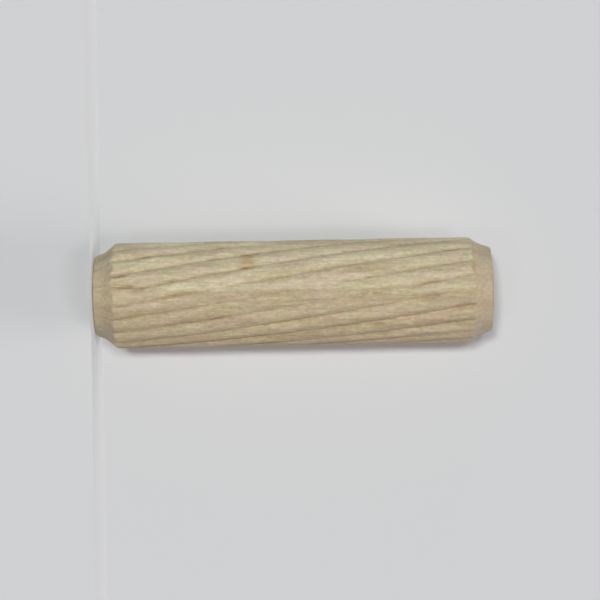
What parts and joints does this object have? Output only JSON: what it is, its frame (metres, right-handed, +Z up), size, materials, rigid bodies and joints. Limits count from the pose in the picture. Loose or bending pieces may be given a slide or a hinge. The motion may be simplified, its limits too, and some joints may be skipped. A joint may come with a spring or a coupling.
{
  "type": "dowel pin",
  "caption": "Cylindrical wooden joining pin with shallow spiral grooves along its body and a stepped chamfer at each end.",
  "frame": {"origin": "centre of the lower end face, which the pin stands on", "axes": "+Z up along the pin's axis; -Y is the side that the picture shows"},
  "size_m": [0.008, 0.008, 0.03],
  "materials": {
    "beech": "unfinished, matt, pressed grooves and sanded chamfers"
  },
  "bodies": {
    "root": {"dowel_pin": "beech"}
  },
  "joints": []
}
